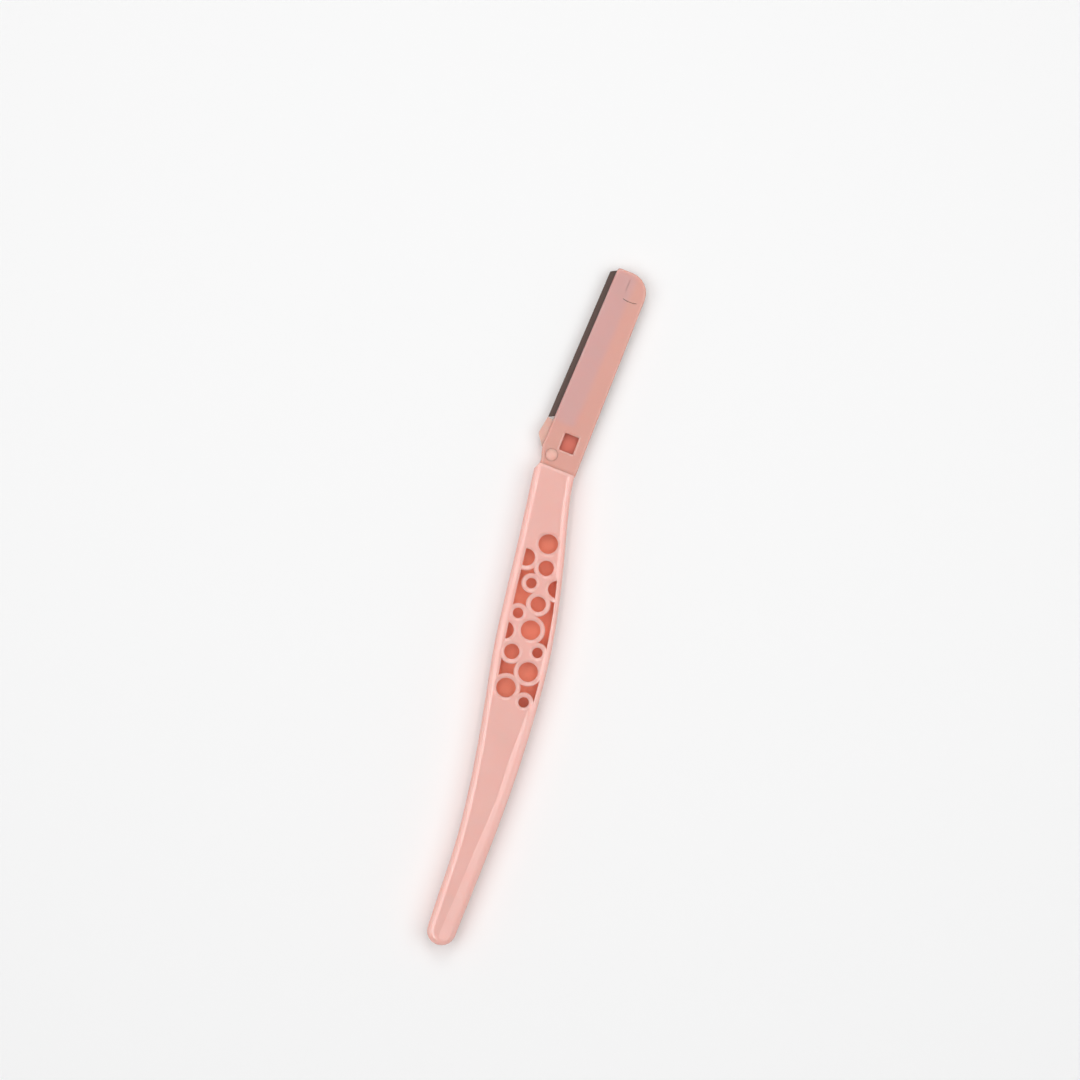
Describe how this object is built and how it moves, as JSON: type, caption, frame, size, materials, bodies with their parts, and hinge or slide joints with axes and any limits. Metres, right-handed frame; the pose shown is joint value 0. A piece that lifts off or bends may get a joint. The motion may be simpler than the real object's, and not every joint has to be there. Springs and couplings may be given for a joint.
{
  "type": "folding eyebrow razor",
  "caption": "Slim folding eyebrow razor: curved handle with a bubble-pattern window, and a flat pivoting head that holds a narrow guarded blade.",
  "frame": {"origin": "on the head's pivot axis at the handle's flat back face", "axes": "+Y along the handle from its tail towards the open head's tip, +Z out of the front face, +X towards the spine; the cutting edge faces -X when the head is open"},
  "size_m": [0.0147, 0.1464, 0.0056],
  "materials": {
    "handle_plastic": "moulded, smooth satin gloss",
    "liner_plastic": "moulded, smooth",
    "head_plastic": "moulded, milky translucent",
    "pin_plastic": "moulded, glossy",
    "washer_steel": "stamped, bright",
    "blade_steel": "ground and dark polished"
  },
  "bodies": {
    "handle": {"front_shell": "handle_plastic", "inner_liner": "liner_plastic", "back_shell": "handle_plastic", "pivot_pin": "pin_plastic", "pivot_washer": "washer_steel"},
    "head": {"blade_carrier": "head_plastic", "blade": "blade_steel", "blade_cover": "head_plastic"}
  },
  "joints": [
    {"name": "head_fold", "type": "hinge", "parent": "handle", "child": "head", "pos_m": [0, 0, 0], "axis": [0, 0, 1], "range_deg": [0, 194]}
  ]
}
